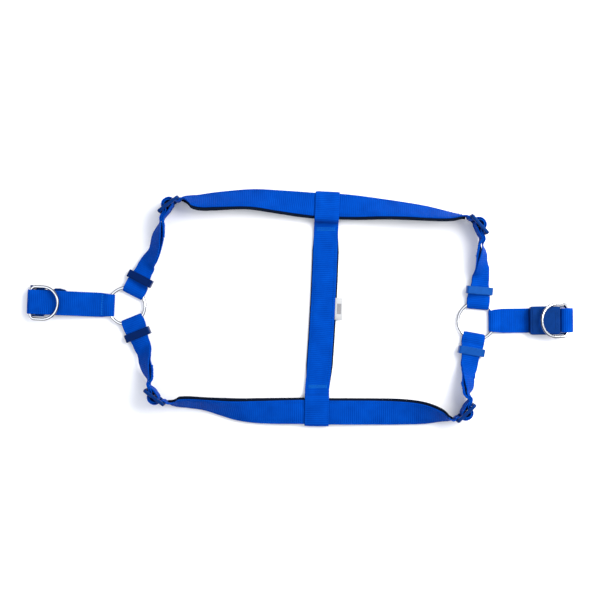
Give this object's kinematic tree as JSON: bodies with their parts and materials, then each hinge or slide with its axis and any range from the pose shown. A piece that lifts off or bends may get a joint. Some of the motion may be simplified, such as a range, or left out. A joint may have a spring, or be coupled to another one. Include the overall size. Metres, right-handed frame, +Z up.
{
  "type": "step-in webbing harness",
  "caption": "Blue webbing step-in harness laid flat: lined side straps, crossbar, O-rings, tabs with D-rings and a side-release buckle, sliding adjusters and keepers.",
  "frame": {"origin": "on the resting surface, under the middle of the crossbar's lining", "axes": "+X from the left ring to the right ring, +Y to the upper side strap, +Z up out of the laid-flat harness"},
  "size_m": [0.5617, 0.2455, 0.031],
  "materials": {
    "blue_webbing": "ribbed nylon webbing, royal blue",
    "black_neoprene": "knit-faced neoprene, black",
    "steel_wire": "nickel-plated welded wire",
    "blue_plastic": "moulded acetal, dark blue, fine grain",
    "thread": "polyester sewing thread",
    "label_tape": "white satin tape, blank"
  },
  "bodies": {
    "root": {"upper_side_strap": "blue_webbing", "lower_side_strap": "blue_webbing", "upper_lining": "black_neoprene", "lower_lining": "black_neoprene", "crossbar_webbing": "blue_webbing", "crossbar_lining": "black_neoprene", "crossbar_upper_stitches": "thread", "crossbar_lower_stitches": "thread", "label": "label_tape"},
    "left_ring": {"left_o_ring": "steel_wire"},
    "right_ring": {"right_o_ring": "steel_wire"},
    "left_tab": {"left_tab": "blue_webbing", "left_tab_stitches": "thread"},
    "right_tab": {"right_tab": "blue_webbing", "right_tab_stitches": "thread"},
    "left_d_ring": {"left_d_ring": "steel_wire"},
    "right_d_ring": {"right_d_ring": "steel_wire"},
    "male_buckle": {"male_buckle_frame": "blue_plastic"},
    "male_arm_a": {"male_buckle_arm_a": "blue_plastic"},
    "male_arm_b": {"male_buckle_arm_b": "blue_plastic"},
    "female_buckle": {"female_buckle": "blue_plastic"},
    "upper_left_keeper": {"upper_left_keeper": "blue_plastic"},
    "upper_left_tri_glide": {"upper_left_tri_glide": "blue_plastic"},
    "lower_left_keeper": {"lower_left_keeper": "blue_plastic"},
    "lower_left_tri_glide": {"lower_left_tri_glide": "blue_plastic"},
    "upper_right_keeper": {"upper_right_keeper": "blue_plastic"},
    "upper_right_tri_glide": {"upper_right_tri_glide": "blue_plastic"},
    "lower_right_keeper": {"lower_right_keeper": "blue_plastic"},
    "lower_right_tri_glide": {"lower_right_tri_glide": "blue_plastic"}
  },
  "joints": [
    {"name": "left_ring_swivel", "type": "hinge", "parent": "root", "child": "left_ring", "pos_m": [-0.2024, 0.0028, 0.0035], "axis": [0, 0, 1], "range_deg": [-12, 12]},
    {"name": "left_tab_lift", "type": "hinge", "parent": "left_ring", "child": "left_tab", "pos_m": [-0.21998, 0.0036, 0.0035], "axis": [0.0454, 0.999, 0], "range_deg": [0, 90], "deforming": ["left_tab"]},
    {"name": "left_d_ring_swing", "type": "hinge", "parent": "left_tab", "child": "left_d_ring", "pos_m": [-0.30053, 0.00645, 0.0073], "axis": [-0.0454, -0.999, 0], "range_deg": [0, 140]},
    {"name": "male_buckle_swing", "type": "hinge", "parent": "left_tab", "child": "male_buckle", "pos_m": [-0.30044, 0.00845, 0.0039], "axis": [0.0454, 0.999, 0], "range_deg": [0, 175]},
    {"name": "male_arm_a_flex", "type": "hinge", "parent": "male_buckle", "child": "male_arm_a", "pos_m": [-0.28595, -0.00292, 0.0029], "axis": [0, 0, 1], "range_deg": [0, 8], "stiffness_Nm_per_rad": 0.6},
    {"name": "male_arm_b_flex", "type": "hinge", "parent": "male_buckle", "child": "male_arm_b", "pos_m": [-0.28497, 0.01846, 0.0029], "axis": [0, 0, -1], "range_deg": [0, 8], "stiffness_Nm_per_rad": 0.6},
    {"name": "right_ring_swivel", "type": "hinge", "parent": "root", "child": "right_ring", "pos_m": [0.1581, -0.0127, 0.0035], "axis": [0, 0, 1], "range_deg": [-12, 4]},
    {"name": "right_tab_lift", "type": "hinge", "parent": "right_ring", "child": "right_tab", "pos_m": [0.1757, -0.01252, 0.0035], "axis": [0.0105, -0.9999, 0], "range_deg": [0, 90], "deforming": ["right_tab"]},
    {"name": "female_buckle_swing", "type": "hinge", "parent": "right_tab", "child": "female_buckle", "pos_m": [0.2502, -0.01174, 0.007], "axis": [-0.0105, 0.9999, 0], "range_deg": [0, 160]},
    {"name": "right_d_ring_swing", "type": "hinge", "parent": "female_buckle", "child": "right_d_ring", "pos_m": [0.2502, -0.01174, 0.0104], "axis": [-0.0105, 0.9999, 0], "range_deg": [0, 150]},
    {"name": "upper_left_keeper_slide", "type": "slide", "parent": "root", "child": "upper_left_keeper", "axis": [0.454, 0.891, 0], "range_m": [0, 0.008]},
    {"name": "lower_left_keeper_slide", "type": "slide", "parent": "root", "child": "lower_left_keeper", "axis": [0.3746, -0.9272, 0], "range_m": [0, 0.008]},
    {"name": "upper_right_keeper_slide", "type": "slide", "parent": "root", "child": "upper_right_keeper", "axis": [0.0872, 0.9962, 0], "range_m": [0, 0.008]},
    {"name": "lower_right_keeper_slide", "type": "slide", "parent": "root", "child": "lower_right_keeper", "axis": [-0.1736, -0.9848, 0], "range_m": [0, 0.008]},
    {"name": "upper_left_adjuster_slide", "type": "slide", "parent": "root", "child": "upper_left_tri_glide", "axis": [-0.3235, -0.9462, 0], "range_m": [0, 0.018], "deforming": ["upper_side_strap"]},
    {"name": "lower_left_adjuster_slide", "type": "slide", "parent": "root", "child": "lower_left_tri_glide", "axis": [-0.2848, 0.9586, 0], "range_m": [0, 0.018], "deforming": ["lower_side_strap"]},
    {"name": "upper_right_adjuster_slide", "type": "slide", "parent": "root", "child": "upper_right_tri_glide", "axis": [0.1163, -0.9932, 0], "range_m": [0, 0.018], "deforming": ["upper_side_strap"]},
    {"name": "lower_right_adjuster_slide", "type": "slide", "parent": "root", "child": "lower_right_tri_glide", "axis": [0.1075, 0.9942, 0], "range_m": [0, 0.018], "deforming": ["lower_side_strap"]}
  ]
}
